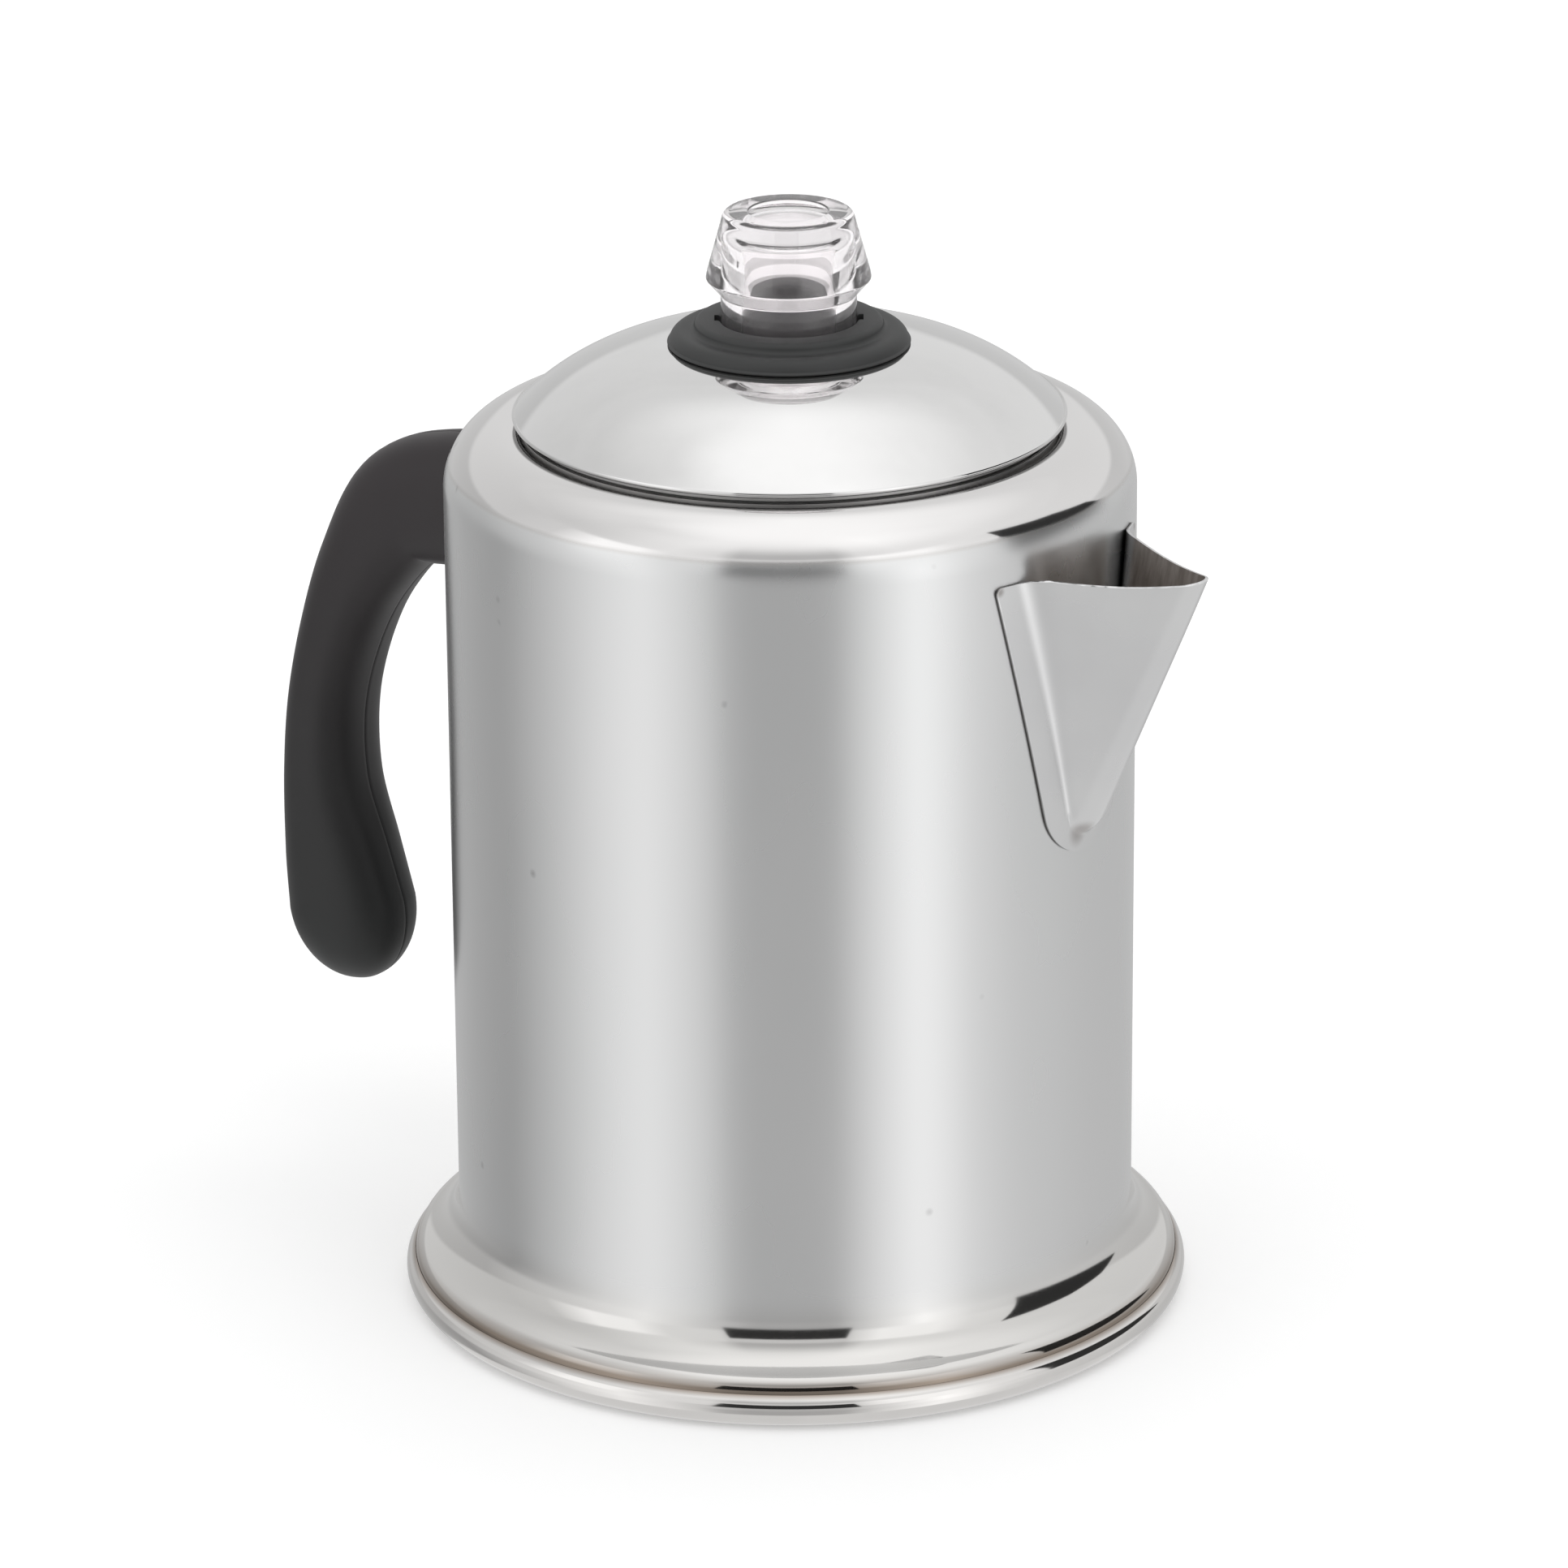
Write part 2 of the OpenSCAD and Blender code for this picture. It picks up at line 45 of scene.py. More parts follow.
# Pot, in millimetres, as in part.scad
BODY_R = 65.5
WALL = 0.8
SHOULDER_Z = 174.0
SHOULDER_R = 12.0
MOUTH_R = 49.7
MOUTH_LIP_R = 1.5
NECK_DEPTH = 7.0
FLARE_R = 74.2
CREST_Z = 6.3
CREST_R = 3.5
CREST_LEAN = 70.0
BEAD_R = 3.5
PAN_R = 76.0
FLOOR_T = 1.2
SEAT_GAP = 0.05

# Spout
RIM_Z = 158.3
RIM_DIP = 0.8
LIP_R = 4.5
LIP_X = 86.8
FOLD_R = 6.0
FOLD_X = 63.9
FOLD_Z = 110.3
ROOT_X = 57.5
ROOT_Y = 20.6
FLANGE_TOP_HALF = 24.4
FLANGE_LOW_R = 12.8
FLANGE_LOW_Z = 101.3
SPOUT_T = 0.6
SPOUT_EDGE_R = 0.18
FILLET_LOW = 1.6
FILLET_HIGH = 4.4
FLANGE_CORNER_R = 1.6
# Dents of the welds: [across, height, radius, depth]
WELD_DENTS = [(1.5, 106.2, 1.6, 0.3), (-2.2, 106.8, 1.3, 0.22)]
STRAINER_R = 1.8
STRAINER_PITCH = 7.5
STRAINER_DROP = 12.0
STRAINER_LAST_GAP = 7.0
STRAINER_SIDE_GAP = 3.0

# Handle: [out from the wall, up from the arm's middle, half of the thickness]
ARM_Z = 144.8
GRIP_LINE = [
    (0, 0.4, 13.2), (12, 0.4, 13.4), (24.4, -3.4, 12.2), (34, -16.4, 9.8), (40.3, -31, 8.3),
    (44.2, -46.6, 7.9), (45, -63, 8.9), (43, -78, 11.6), (41, -89.5, 13.2),
]
GRIP_HALF_W = 10.0
GRIP_SQUARE = 2.4
GRIP_TIP = 16.0
GRIP_GROOVE_HALF = 3.0
GRIP_GROOVE_DEEP = 0.14
WALL_GAP = 0.3
SCREW_X = -78.5
SCREW_ROOM_R = 2.08
HEAD_ROOM_R = 4.5
HEAD_ROOM_TOP = -7.0
# Rooms in the handle, from the arm's middle: the bracket's plate, then its tongue and nut
GRIP_ROOMS = [((-67.8, -7.3, -9.3), (-63.5, 7.3, 9.3)), ((-85.8, -5.8, -0.05), (-65.8, 5.8, 5.8))]

# Lid, collar and knob
LID_R = 52.3
LID_T = 0.8
LID_BEAD_R = 0.65
LID_RIM_Z = 175.85
DOME_H = 13.2
DOME_SAG = 3.0
SEAT_R = 22.0
SEAT_Z = LID_RIM_Z + LID_BEAD_R / 2 + DOME_H
SPIGOT_R = 15.48
COLLAR_BORE_R = 12.88
COLLAR_R = 22.9
COLLAR_T = 2.8
COLLAR_STEP_R = 17.8
COLLAR_H = 4.8
SPIGOT_H = 4.0
LUG_GAP = 0.3
NECK_R = 12.8
KNOB_BORE_R = 8.9
KNOB_H = 25.6
KNOB_FLARE_H = 13.4
LUG_OUT = 0.9
LUG_W = 3.0
LUG_H = 2.0
LUG_TURN = 34.0

# Where the finish changes, and bands of painted shade, in millimetres: [start, end]
POLISH_Z = (166.9, 167.5)
SEAM_SHADE_Z = (166.3, 166.9, 167.5)
FOOT_POLISH_Z = (13.0, 24.0)
FOOT_GROOVE_SHADE_Z = (7.2, 9.2)
RING_GROOVE_SHADE_Z = (6.6, 5.8)
LID_RIM_SHADE_Z = (175.4, 175.8)
SPOUT_INSIDE_X = (66.4, 67.4)
SPOUT_EDGE_SHADOW_REACH = (65.7, 66.0)
# Heat marks of the welds: [place, radius]
HEAT_MARKS = [((67.2, -3.0, 105.4), 3.6), ((62.2, -23.6, 157.6), 1.4), ((62.2, 23.6, 157.6), 1.4)]

# Camera
VIEW_AZIMUTH = 34.0
VIEW_ELEVATION = 20.0
VIEW_DISTANCE = 1.5
VIEW_TARGET = Vector((-1.31, -0.88, 101.06)) * MM
VIEW_ROLL = -0.431
LENS = 179.8
SENSOR = 36.0


# ---------------------------------------------------------------- shapes


def mix(a, b, t):
    return a + (b - a) * t

# Brown grime in the foot's grooves, darkened further as painted groove shade

def smooth(t):
    """A step from 0 to 1 with level ends."""
    t = min(1.0, max(0.0, t))
    return t * t * (3 - 2 * t)


def arc(centre, radius, start, end, steps):
    """Points of an arc between two angles in degrees."""
    angles = [radians(mix(start, end, i / steps)) for i in range(steps + 1)]
    return [(centre[0] + radius * cos(a), centre[1] + radius * sin(a)) for a in angles]


def line(start, end, steps):
    """Points along a straight stretch, without its ends."""
    return [(mix(start[0], end[0], i / steps), mix(start[1], end[1], i / steps)) for i in range(1, steps)]


def new_piece(name, bm, sharp=32):
    """An object from a bmesh, smooth shaded with creases at angles sharper than `sharp`."""
    mesh = bpy.data.meshes.new(name)
    bm.to_mesh(mesh)
    bm.free()
    piece = bpy.data.objects.new(name, mesh)
    bpy.context.scene.collection.objects.link(piece)
    shade(piece, sharp)
    return piece


def shade(piece, sharp=32):
    piece.data.shade_smooth()
    piece.data.set_sharp_from_angle(angle=radians(sharp))


def add_turned(bm, outline, steps=TURN_STEPS):
    """Adds a solid of revolution about Z from a closed outline of (radius, height) in mm."""
    rings = []
    for radius, height in outline:
        if radius < 1e-6:
            rings.append([bm.verts.new((0, 0, height * MM))])
            continue
        turns = [2 * pi * (k + 0.5) / steps for k in range(steps)]
        ring = [(radius * MM * cos(t), radius * MM * sin(t), height * MM) for t in turns]
        rings.append([bm.verts.new(corner) for corner in ring])
    for low, high in zip(rings, rings[1:] + rings[:1]):
        if len(low) == 1 and len(high) == 1:
            continue
        for k in range(steps):
            j = (k + 1) % steps
            corners = [low[k % len(low)], low[j % len(low)], high[j % len(high)], high[k % len(high)]]
            bm.faces.new(list(dict.fromkeys(corners)))
    bmesh.ops.recalc_face_normals(bm, faces=bm.faces)


def turned(name, outline, sharp=32, steps=TURN_STEPS):
    bm = bmesh.new()
    add_turned(bm, outline, steps)
    return new_piece(name, bm, sharp)


def add_rod(bm, start, end, radius, sides=48):
    """Adds a plain cylinder between two points in mm, used for cutting holes."""
    start, end = Vector(start) * MM, Vector(end) * MM
    way = end - start
    place = Matrix.Translation((start + end) / 2) @ way.to_track_quat("Z", "Y").to_matrix().to_4x4()
    size = {"radius1": radius * MM, "radius2": radius * MM, "depth": way.length}
    bmesh.ops.create_cone(bm, cap_ends=True, segments=sides, matrix=place, **size)


def add_block(bm, low, high, turn=0.0):
    """Adds a box between two corners in mm, turned about Z by an angle in degrees."""
    low, high = Vector(low) * MM, Vector(high) * MM
    size = high - low
    place = Matrix.Rotation(radians(turn), 4, "Z") @ Matrix.Translation((low + high) / 2)
    bmesh.ops.create_cube(bm, size=1, matrix=place @ Matrix.Diagonal((*size, 1)))


def apply_modifiers(piece, sharp=32):
    """Keeps the shape that the modifiers give and removes them."""
    graph = bpy.context.evaluated_depsgraph_get()
    mesh = bpy.data.meshes.new_from_object(piece.evaluated_get(graph))
    piece.modifiers.clear()
    old = piece.data
    piece.data = mesh
    mesh.name = piece.name
    bpy.data.meshes.remove(old)
    shade(piece, sharp)


def combine(piece, bm, operation, sharp=32):
    """Cuts a bmesh out of a piece, or joins it to the piece."""
    tool = new_piece(piece.name + "_tool", bm)
    modifier = piece.modifiers.new(operation, "BOOLEAN")
    modifier.operation = operation
    modifier.solver = "EXACT"
    modifier.object = tool
    apply_modifiers(piece, sharp)
    bpy.data.objects.remove(tool)


# ---------------------------------------------------------------- pieces


def pot_sheet(inset):
    """Profile of one side of the pot's sheet, from the foot up to the end of the neck."""
    flare_out = FLARE_R - BODY_R
    lean = radians(CREST_LEAN)
    cove_r = (flare_out - CREST_R + CREST_R * cos(lean)) / (1 - cos(lean))
    crest = (FLARE_R - CREST_R, CREST_Z)
    cove = (BODY_R + cove_r, CREST_Z + (CREST_R + cove_r) * sin(lean))
    turn = (BODY_R - SHOULDER_R, SHOULDER_Z - SHOULDER_R)
    lip = (MOUTH_R + MOUTH_LIP_R, SHOULDER_Z - MOUTH_LIP_R)
    wall_r = BODY_R - inset
    top_z = SHOULDER_Z - inset
    return (
        [(FLARE_R - inset, FLOOR_T + SEAT_GAP)]
        + arc(crest, CREST_R - inset, 0, CREST_LEAN, 20)
        + arc(cove, cove_r + inset, 180 + CREST_LEAN, 180, 32)[1:]
        + line((wall_r, cove[1]), (wall_r, turn[1]), 64)
        + arc(turn, SHOULDER_R - inset, 0, 90, 40)
        + line((turn[0], top_z), (lip[0], top_z), 3)
        + arc(lip, MOUTH_LIP_R - inset, 90, 180, 10)
        + [(MOUTH_R + inset, SHOULDER_Z - NECK_DEPTH)]
    )


def body_shell():
    piece = turned("pot_shell", pot_sheet(0) + pot_sheet(WALL)[::-1])
    holes = bmesh.new()
    row_drop = STRAINER_PITCH * 0.9
    spout_h = RIM_Z - FOLD_Z + FOLD_R
    half_top = ROOT_Y - STRAINER_SIDE_GAP
    for i in range(int((spout_h - STRAINER_DROP - STRAINER_LAST_GAP) / row_drop)):
        drop = STRAINER_DROP + i * row_drop
        half = half_top + (FOLD_R - half_top) * drop / spout_h - STRAINER_R - STRAINER_SIDE_GAP
        count = 1 + int(2 * half / STRAINER_PITCH)
        for j in range(count):
            y = (j - (count - 1) / 2) * STRAINER_PITCH
            z = RIM_Z - drop
            add_rod(holes, (ROOT_X, y, z), (BODY_R + 1, y, z), STRAINER_R)
    combine(piece, holes, "DIFFERENCE")
    return piece


def base_pan():
    bead = (PAN_R - BEAD_R, BEAD_R)
    inside_r = FLARE_R + SEAT_GAP
    top_z = BEAD_R + BEAD_R * sin(radians(60))
    outline = (
        [(0, 0), (30, 0), (60, 0)]
        + arc(bead, BEAD_R, -90, 60, 32)
        + [(inside_r, top_z), (inside_r, FLOOR_T), (40, FLOOR_T), (0, FLOOR_T)]
    )
    return turned("base_ring", outline)


def spout_sheet_x(y, z):
    """How far the folded sheet of the spout stands out at a place across and up."""
    y = abs(y)
    root_turn = atan2(ROOT_Y, LIP_X - ROOT_X)
    side = root_turn - asin(LIP_R / hypot(LIP_X - ROOT_X, ROOT_Y))
    way_x, way_y = sin(side), cos(side)
    rim_h = LIP_X * way_x + LIP_R
    # The sides lean in by the angle at which they touch the ball at the bottom of the fold
    span, rise = rim_h - FOLD_X * way_x, RIM_Z - FOLD_Z
    lean = atan2(span, rise) - asin(FOLD_R / hypot(span, rise))
    run = LIP_X + LIP_R - FOLD_X
    nose_lean = atan2(run, rise) - asin(FOLD_R / hypot(run, rise))
    side_h = rim_h - tan(lean) * (RIM_Z - z)
    front = LIP_X + LIP_R - tan(nose_lean) * (RIM_Z - z)
    nose_r = max((side_h - way_x * front) / (1 - way_x), 0.5)
    if y < nose_r * way_y:
        x = front - nose_r + sqrt(nose_r * nose_r - y * y)
    else:
        x = (side_h - way_y * y) / way_x
    ball = FOLD_R * FOLD_R - (z - FOLD_Z) ** 2 - y * y
    ball_x = FOLD_X + sqrt(ball) if ball > 0 else 0
    return mix(ball_x, x, smooth((z - 106.5) / 3))


def spout_x(y, z):
    """The spout's outside: its sheet run into the flange around the wall by a small fillet."""
    flange = sqrt((BODY_R + SEAT_GAP + SPOUT_T) ** 2 - y * y)
    sheet = spout_sheet_x(y, z)
    fillet = mix(FILLET_LOW, FILLET_HIGH, smooth((z - FOLD_Z) / (RIM_Z - FOLD_Z)))
    near = max(fillet - abs(flange - sheet), 0) / fillet
    return max(flange, sheet) + near * near * fillet / 4 - weld_dent(y, z)


def weld_dent(y, z):
    """Shallow dents left by the welds at the bottom of the fold."""
    return sum(d * 2.718 ** (-((y - py) ** 2 + (z - pz) ** 2) / (r * r)) for py, pz, r, d in WELD_DENTS)


def flange_half(z):
    """Half of the flange's width at a height: a rounded V with rounded top corners."""
    centre_z = FLANGE_LOW_Z + FLANGE_LOW_R
    rise = RIM_Z - centre_z
    lean = atan2(FLANGE_TOP_HALF, rise) - asin(FLANGE_LOW_R / hypot(FLANGE_TOP_HALF, rise))
    touch_z = centre_z - FLANGE_LOW_R * sin(lean)
    if z < touch_z:
        half = sqrt(max(FLANGE_LOW_R**2 - (z - centre_z) ** 2, 0))
    else:
        half = FLANGE_TOP_HALF - tan(lean) * (RIM_Z - z)
    up = max(0, z - (RIM_Z - FLANGE_CORNER_R))
    return half - FLANGE_CORNER_R + sqrt(FLANGE_CORNER_R**2 - up * up)


def spout():
    """A grid laid over the flange's outline, pushed out to the folded sheet and thickened."""
    columns = 160
    centre_z = FLANGE_LOW_Z + FLANGE_LOW_R
    heights = [centre_z - FLANGE_LOW_R * cos(radians(a)) for a in range(4, 80, 3)]
    heights += [mix(heights[-1], RIM_Z - 2, i / 84) for i in range(1, 85)]
    heights += [RIM_Z - 2 + 2 * sin(radians(a)) for a in (15, 30, 45, 60, 75, 90)]
    bm = bmesh.new()
    rows = []
    for z in heights:
        half = flange_half(z)
        row = []
        for k in range(columns + 1):
            y = half * (2 * k / columns - 1)
            x = spout_x(y, z)
            along = min(1, max(0, (x - BODY_R - 2) / (LIP_X + LIP_R - BODY_R - 2)))
            fade = max(0, (z - FOLD_Z) / (RIM_Z - FOLD_Z)) ** 3
            row.append(bm.verts.new((x * MM, y * MM, (z - RIM_DIP * sin(pi * along) * fade) * MM)))
        rows.append(row)
    for low, high in zip(rows, rows[1:]):
        for k in range(columns):
            bm.faces.new((low[k], low[k + 1], high[k + 1], high[k]))
    bottom = bm.verts.new((spout_x(0, FLANGE_LOW_Z) * MM, 0, FLANGE_LOW_Z * MM))
    for k in range(columns):
        bm.faces.new((bottom, rows[0][k + 1], rows[0][k]))
    bmesh.ops.recalc_face_normals(bm, faces=bm.faces)
    if sum(f.normal.x for f in bm.faces) < 0:
        bmesh.ops.reverse_faces(bm, faces=bm.faces)
    piece = new_piece("pouring_spout", bm)
    thick = piece.modifiers.new("thickness", "SOLIDIFY")
    thick.thickness = SPOUT_T * MM
    thick.offset = -1
    edge = piece.modifiers.new("edge", "BEVEL")
    edge.width = SPOUT_EDGE_R * MM
    edge.segments = 2
    edge.limit_method = "ANGLE"
    edge.angle_limit = radians(60)
    apply_modifiers(piece, 50)
    return piece


def blend_points(a, b, c, d, t):
    """A smooth curve between b and c, led by the points on either side."""
    return tuple(
        0.5 * (2 * q + (r - p) * t + (2 * p - 5 * q + 4 * r - s) * t * t + (3 * q - p - 3 * r + s) * t**3)
        for p, q, r, s in zip(a, b, c, d)
    )


def grip_at(s):
    last = len(GRIP_LINE) - 1
    i = min(int(s), last - 1)
    near = [GRIP_LINE[max(0, min(last, j))] for j in range(i - 1, i + 3)]
    return blend_points(*near, s - i)


def grip_way(s):
    a, b = grip_at(max(s - 0.05, 0)), grip_at(min(s + 0.05, len(GRIP_LINE) - 1))
    way = Vector((b[0] - a[0], b[1] - a[1]))
    return way.normalized()


def grip_ring(bm, centre, way, thick, width):
    """One ring of the handle, with a fine parting groove on its inner and outer sides."""
    half = GRIP_GROOVE_HALF
    angles = []
    for middle in (0, 180):
        angles += [middle - half, middle - 0.8, middle, middle + 0.8, middle + half]
        angles += [middle + half + (180 - 2 * half) * k / 30 for k in range(1, 30)]
    ring = []
    for angle in angles:
        c, s = cos(radians(angle)), sin(radians(angle))
        u = thick * abs(c) ** (2 / GRIP_SQUARE) * (1 if c > 0 else -1)
        v = width * abs(s) ** (2 / GRIP_SQUARE) * (1 if s > 0 else -1)
        if angle in (0, 180):
            u -= GRIP_GROOVE_DEEP if c > 0 else -GRIP_GROOVE_DEEP
        ring.append(bm.verts.new((
            -(BODY_R + centre[0] + u * way[1]) * MM, v * MM, (ARM_Z + centre[1] - u * way[0]) * MM
        )))
    return ring


def handle_grip():
    bm = bmesh.new()
    last = len(GRIP_LINE) - 1
    rings = []
    for i in range(last * 12 + 1):
        c = grip_at(i / 12)
        rings.append(grip_ring(bm, c, grip_way(i / 12), c[2], GRIP_HALF_W))
    end, way = grip_at(last), grip_way(last)
    for k in range(1, 24):
        a = radians(89 * k / 23)
        centre = (end[0] + way[0] * GRIP_TIP * sin(a), end[1] + way[1] * GRIP_TIP * sin(a))
        rings.append(grip_ring(bm, centre, way, end[2] * cos(a), GRIP_HALF_W * cos(a)))
    for low, high in zip(rings, rings[1:]):
        for k in range(len(low)):
            j = (k + 1) % len(low)
            bm.faces.new((low[k], low[j], high[j], high[k]))
    bm.faces.new(rings[0])
    bm.faces.new(rings[-1])
    bmesh.ops.recalc_face_normals(bm, faces=bm.faces)
    piece = new_piece("handle", bm, 40)
    room = bmesh.new()
    wall = BODY_R + WALL_GAP
    add_turned(room, [(0, ARM_Z - 30), (wall, ARM_Z - 30), (wall, ARM_Z + 30), (0, ARM_Z + 30)])
    combine(piece, room, "DIFFERENCE", 40)
    for low, high in GRIP_ROOMS:
        room = bmesh.new()
        add_block(room, (*low[:2], ARM_Z + low[2]), (*high[:2], ARM_Z + high[2]))
        combine(piece, room, "DIFFERENCE", 40)
    for start, end, radius, sides in ((-30, 1, SCREW_ROOM_R, 48), (-37, HEAD_ROOM_TOP, HEAD_ROOM_R, 64)):
        room = bmesh.new()
        add_rod(room, (SCREW_X, 0, ARM_Z + start), (SCREW_X, 0, ARM_Z + end), radius, sides)
        combine(piece, room, "DIFFERENCE", 40)
    return piece


def dome_arc(inset, steps=48):
    """The dome's profile from the collar's seat down to the rim."""
    run = LID_R - LID_BEAD_R * 0.7 - SEAT_R
    chord = hypot(run, DOME_H)
    radius = (chord * chord / 4 + DOME_SAG * DOME_SAG) / (2 * DOME_SAG)
    lean = atan2(DOME_H, run)
    centre = (
        SEAT_R + run / 2 - (radius - DOME_SAG) * sin(lean),
        SEAT_Z - DOME_H / 2 - (radius - DOME_SAG) * cos(lean),
    )
    half = degrees(asin(chord / 2 / radius))
    middle = 90 - degrees(lean)
    return arc(centre, radius - inset, middle + half, middle - half, steps)


def lid_dome():
    hole_r = SPIGOT_R + SEAT_GAP
    seat = [(hole_r, SEAT_Z), (SEAT_R - 2.5, SEAT_Z)]
    top = seat + dome_arc(0)
    under = dome_arc(LID_T)[::-1] + [(hole_r, SEAT_Z - LID_T)]
    bead = (LID_R - LID_BEAD_R, LID_RIM_Z)
    start = atan2(top[-1][1] - bead[1], top[-1][0] - bead[0])
    roll = arc(bead, LID_BEAD_R, degrees(start), -150, 20)
    return turned("lid", top + roll + under[1:])


def knob_collar():
    low_z = SEAT_Z - SPIGOT_H
    seat = SEAT_Z + SEAT_GAP
    top_z = SEAT_Z + COLLAR_H
    fillet = 1.0
    step = (COLLAR_STEP_R + fillet, seat + COLLAR_T + fillet)
    crown = (COLLAR_STEP_R - 1.3, top_z - 1.3)
    outline = (
        [(COLLAR_BORE_R, low_z), (SPIGOT_R, low_z), (SPIGOT_R, seat), (COLLAR_R - 0.35, seat)]
        + arc((COLLAR_R - 0.35, seat + 0.35), 0.35, -80, 0, 5)
        + arc((COLLAR_R - COLLAR_T, seat + 0.35), COLLAR_T - 0.35, 8, 90, 20)
        + [(COLLAR_STEP_R + 1.6, seat + COLLAR_T + 0.03)]
        + arc(step, fillet, 270, 180, 8)
        + arc(crown, 1.3, 0, 80, 10)
        + arc((COLLAR_BORE_R + 0.7, top_z - 0.7), 0.7, 90, 180, 6)
    )
    piece = turned("knob_collar_ring", outline)
    slots = bmesh.new()
    reach, half = NECK_R + LUG_OUT + LUG_GAP, LUG_W / 2 + LUG_GAP
    add_block(slots, (-reach, -half, low_z - 1), (reach, half, top_z + 1), LUG_TURN)
    combine(piece, slots, "DIFFERENCE")
    return piece


def knob():
    """The thick clear knob: a neck with two lugs, a flared skirt and a dished top over a deep bore."""
    low_z = SEAT_Z - SPIGOT_H - LUG_GAP - LUG_H
    top_z = SEAT_Z + KNOB_H
    flare_z = SEAT_Z + KNOB_FLARE_H
    flare_r = NECK_R + 2.7
    shoulder_r = NECK_R - 0.3
    dish_r = NECK_R - 5
    edge = 1.6
    dish_z = top_z - 0.7
    roof_z = top_z - 5.5
    outline = (
        [(KNOB_BORE_R, low_z), (NECK_R - 0.3, low_z), (NECK_R, low_z + 0.3)]
        + line((NECK_R, low_z + 0.3), (NECK_R, flare_z - 4), 12)
        + arc((NECK_R + 0.8, flare_z - 4), 0.8, 180, 115, 6)
        + arc((flare_r - 0.6, flare_z - 0.5), 0.6, -60, 12, 8)
        + line((flare_r - 0.02, flare_z), (shoulder_r + 0.05, top_z - edge), 16)
        + arc((shoulder_r - edge, top_z - edge), edge, 12, 90, 12)
        + arc((dish_r, top_z - 0.35), 0.35, 90, 180, 6)
        + [(dish_r - 0.45, dish_z), (4, dish_z), (0, dish_z), (0, roof_z), (4, roof_z - 0.05)]
        + arc((KNOB_BORE_R - 2.2, roof_z - 2.0), 2.0, 88, 8, 10)
        + line((KNOB_BORE_R - 0.2, roof_z - 2.4), (KNOB_BORE_R, low_z + 0.4), 12)
    )
    piece = turned("clear_knob", outline, 24, 192)
    lugs = bmesh.new()
    reach = NECK_R + LUG_OUT
    for side in (-1, 1):
        near, far = sorted((side * (NECK_R - 1), side * reach))
        low, high = (near, -LUG_W / 2, low_z + 0.02), (far, LUG_W / 2, low_z + LUG_H)
        add_block(lugs, low, high, LUG_TURN + 90)
    combine(piece, lugs, "UNION", 24)
    return piece


# ---------------------------------------------------------------- materials


class Nodes:
    """Short ways to add and wire nodes in a tree."""

    def __init__(self, tree):
        self.tree = tree

    def wire(self, socket, value):
        """Links an output to a socket, or sets the socket's own value."""
        if isinstance(value, bpy.types.NodeSocket):
            self.tree.links.new(value, socket)
        else:
            socket.default_value = value

    def add(self, kind, inputs=(), **settings):
        node = self.tree.nodes.new(kind)
        for key, value in settings.items():
            setattr(node, key, value)
        for key, value in dict(inputs).items():
            self.wire(node.inputs[key], value)
        return node

    def band(self, value, low, high, to_low=0.0, to_high=1.0, smoothly=False):
        """Maps a value between two limits onto another pair."""
        inputs = {"Value": value, "From Min": low, "From Max": high, "To Min": to_low, "To Max": to_high}
        kind = "SMOOTHSTEP" if smoothly else "LINEAR"
        return self.add("ShaderNodeMapRange", inputs, interpolation_type=kind).outputs["Result"]

    def math(self, operation, a, b=0.0):
        return self.add("ShaderNodeMath", {0: a, 1: b}, operation=operation).outputs["Value"]

    def both(self, a, b):
        """The product of two masks."""
        return self.math("MULTIPLY", a, b)

    def vector(self, operation, a, b=(0.0, 0.0, 0.0)):
        """A length or a distance between two vectors."""
        return self.add("ShaderNodeVectorMath", {0: a, 1: b}, operation=operation).outputs["Value"]

    def blend(self, factor, a, b):
        """Mixes two colours."""
        node = self.add("ShaderNodeMix", data_type="RGBA")
        for socket, value in ((node.inputs[0], factor), (node.inputs[6], a), (node.inputs[7], b)):
            self.wire(socket, value)
        return node.outputs[2]


class Shader(Nodes):
    """A Principled material and its textures."""

    def __init__(self, name, **values):
        self.material = bpy.data.materials.new(name)
        self.material.use_nodes = True
        super().__init__(self.material.node_tree)
        self.main = self.tree.nodes["Principled BSDF"]
        for key, value in values.items():
            self.main.inputs[key.replace("_", " ")].default_value = value
        self.place = self.add("ShaderNodeTexCoord").outputs["Object"]

    def link(self, output, key):
        self.tree.links.new(output, self.main.inputs[key])

    def stretched(self, scale):
        """Object coordinates scaled along each axis."""
        return self.add("ShaderNodeMapping", {"Vector": self.place, "Scale": scale}).outputs["Vector"]

    def noise(self, scale, detail=3.0, vector=None, rough=0.5):
        inputs = {"Vector": vector or self.place, "Scale": scale, "Detail": detail, "Roughness": rough}
        return self.add("ShaderNodeTexNoise", inputs).outputs["Fac"]

    def along(self, value, limits, to_low=0.0, to_high=1.0, smoothly=False):
        """A band between two limits given in millimetres."""
        return self.band(value, limits[0] * MM, limits[1] * MM, to_low, to_high, smoothly)

    def bump(self, height, strength, distance, normal=None):
        inputs = {"Height": height, "Strength": strength, "Distance": distance}
        if normal:
            inputs["Normal"] = normal
        return self.add("ShaderNodeBump", inputs).outputs["Normal"]

    def height(self):
        """The Z of a place on the piece, in metres."""
        return self.add("ShaderNodeSeparateXYZ", {"Vector": self.place}).outputs["Z"]


def grey(value):
    return (value, value, value, 1.0)


GROOVE_GRIME_AND_SHADE = (0.2, 0.15, 0.11, 1)


